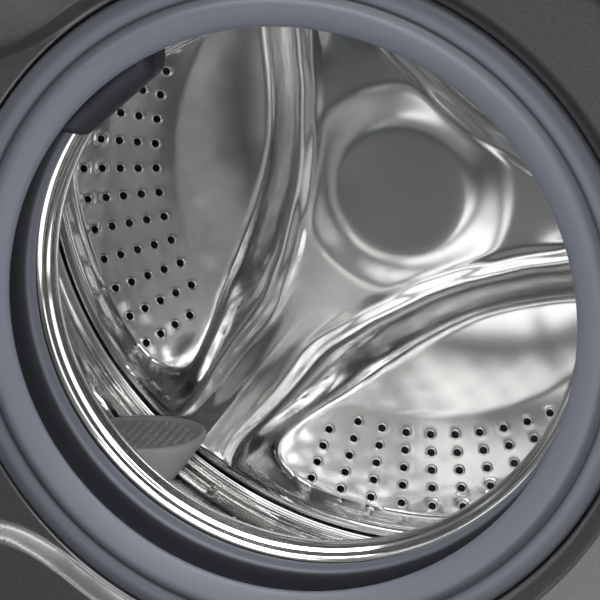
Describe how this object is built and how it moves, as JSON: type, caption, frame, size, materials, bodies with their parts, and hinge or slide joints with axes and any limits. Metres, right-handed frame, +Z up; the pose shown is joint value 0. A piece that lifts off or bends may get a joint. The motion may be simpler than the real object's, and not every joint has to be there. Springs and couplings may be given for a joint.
{
  "type": "front load washing machine",
  "caption": "Front load washing machine with a round glass door on the left, a ribbed steel drum in a sprung tub, a detergent drawer and four levelling feet.",
  "frame": {"origin": "on the floor under the middle of the cabinet", "axes": "+Z up, +X to the right and -Y towards the person in front of the machine"},
  "size_m": [0.6712, 1.0438, 0.848],
  "materials": {
    "cabinet_enamel": "dark grey textured powder coat on steel sheet",
    "zinc_plate": "bright zinc plate",
    "drum_stainless": "polished stainless steel",
    "gasket_rubber": "satin blue-grey rubber",
    "black_plastic": "moulded black plastic, satin",
    "grey_plastic": "moulded grey plastic, satin",
    "white_plastic": "moulded white plastic, satin",
    "display_black": "gloss black acrylic",
    "door_bowl_glass": "pressed clear glass",
    "concrete": "cast concrete, matt",
    "cast_aluminium": "as cast",
    "foot_rubber": "matt black rubber"
  },
  "bodies": {
    "cabinet": {"side_panel_left": "cabinet_enamel", "side_panel_right": "cabinet_enamel", "rear_panel": "zinc_plate", "rear_service_cover": "zinc_plate", "worktop": "cabinet_enamel", "front_panel": "cabinet_enamel", "plinth_panel": "cabinet_enamel", "base_frame": "zinc_plate", "top_crossmember": "zinc_plate", "control_fascia": "black_plastic", "display_window": "display_black", "dispenser_housing": "white_plastic", "inlet_valve": "white_plastic", "control_module": "grey_plastic", "cable_gland": "black_plastic", "drain_pump_body": "white_plastic", "sump_hose": "black_plastic", "drain_outlet": "grey_plastic", "transport_plugs": "grey_plastic", "panel_screws": "zinc_plate", "hinge_bracket": "zinc_plate", "door_lock": "black_plastic", "door_gasket": "gasket_rubber", "gasket_clamp": "zinc_plate", "damper_cylinders": "black_plastic", "suspension_springs": "zinc_plate"},
    "tub": {"tub_front": "white_plastic", "tub_rear": "white_plastic", "counterweights": "concrete", "heater": "zinc_plate", "motor_body": "zinc_plate", "tub_bearings": "zinc_plate", "shaft_seal": "black_plastic", "damper_rods": "zinc_plate", "drive_belt": "black_plastic"},
    "drum": {"drum_shell": "drum_stainless", "drum_back": "drum_stainless", "drum_front": "drum_stainless", "lifter_1": "grey_plastic", "lifter_2": "grey_plastic", "lifter_3": "grey_plastic", "drum_spider": "cast_aluminium", "drum_shaft": "zinc_plate", "drum_pulley": "cast_aluminium"},
    "motor_rotor": {"motor_pulley": "zinc_plate"},
    "door": {"door_frame": "grey_plastic", "door_ring": "black_plastic", "door_glass": "door_bowl_glass", "door_arm": "zinc_plate"},
    "door_handle": {"door_handle": "grey_plastic"},
    "door_hook": {"door_hook": "zinc_plate"},
    "drawer": {"detergent_drawer": "white_plastic"},
    "knob": {"program_knob": "grey_plastic"},
    "start_button": {"start_button": "grey_plastic"},
    "service_flap": {"service_flap": "cabinet_enamel"},
    "pump_filter": {"pump_filter": "black_plastic"},
    "foot_1": {"foot_1": "foot_rubber"},
    "foot_2": {"foot_2": "foot_rubber"},
    "foot_3": {"foot_3": "foot_rubber"},
    "foot_4": {"foot_4": "foot_rubber"}
  },
  "joints": [
    {"name": "tub_bounce", "type": "slide", "parent": "cabinet", "child": "tub", "axis": [0, 0, 1], "range_m": [-0.01, 0.008], "stiffness_N_per_m": 16000, "springref_m": 0.02227, "deforming": ["suspension_springs", "sump_hose", "door_gasket"]},
    {"name": "drum_turn", "type": "hinge", "parent": "tub", "child": "drum", "pos_m": [0, 0, 0.43], "axis": [0, 1, 0], "continuous": true},
    {"name": "motor_turn", "type": "hinge", "parent": "tub", "child": "motor_rotor", "pos_m": [0.06, 0.2, 0.105], "axis": [0, 1, 0], "continuous": true},
    {"name": "door_swing", "type": "hinge", "parent": "cabinet", "child": "door", "pos_m": [-0.214, -0.32, 0.43], "axis": [0, 0, 1], "range_deg": [-55, 110]},
    {"name": "handle_pull", "type": "hinge", "parent": "door", "child": "door_handle", "pos_m": [-0.35901, -0.69502, 0.43], "axis": [0, 0, -1], "range_deg": [0, 12], "stiffness_Nm_per_rad": 1.5},
    {"name": "hook_release", "type": "hinge", "parent": "door", "child": "door_hook", "pos_m": [-0.34031, -0.71673, 0.43], "axis": [0, 0, 1], "range_deg": [0, 9]},
    {"name": "drawer_slide", "type": "slide", "parent": "cabinet", "child": "drawer", "axis": [0, -1, 0], "range_m": [0, 0.2]},
    {"name": "knob_turn", "type": "hinge", "parent": "cabinet", "child": "knob", "pos_m": [0, -0.31, 0.774], "axis": [0, -1, 0], "continuous": true},
    {"name": "start_press", "type": "slide", "parent": "cabinet", "child": "start_button", "axis": [0, 1, 0], "range_m": [0, 0.0015], "stiffness_N_per_m": 800},
    {"name": "flap_open", "type": "hinge", "parent": "cabinet", "child": "service_flap", "pos_m": [0.206, -0.291, 0.039], "axis": [1, 0, 0], "range_deg": [0, 90]},
    {"name": "filter_unscrew", "type": "hinge", "parent": "cabinet", "child": "pump_filter", "pos_m": [0.205, -0.286, 0.078], "axis": [0, -1, 0], "range_deg": [0, 180]},
    {"name": "foot_1_screw", "type": "slide", "parent": "cabinet", "child": "foot_1", "axis": [0, 0, -1], "range_m": [0, 0.012]},
    {"name": "foot_2_screw", "type": "slide", "parent": "cabinet", "child": "foot_2", "axis": [0, 0, -1], "range_m": [0, 0.012]},
    {"name": "foot_3_screw", "type": "slide", "parent": "cabinet", "child": "foot_3", "axis": [0, 0, -1], "range_m": [0, 0.012]},
    {"name": "foot_4_screw", "type": "slide", "parent": "cabinet", "child": "foot_4", "axis": [0, 0, -1], "range_m": [0, 0.012]}
  ],
  "couplings": [
    {"joint": "motor_turn", "follows": "drum_turn", "ratio": 13.5},
    {"joint": "hook_release", "follows": "handle_pull", "ratio": 0.75}
  ]
}
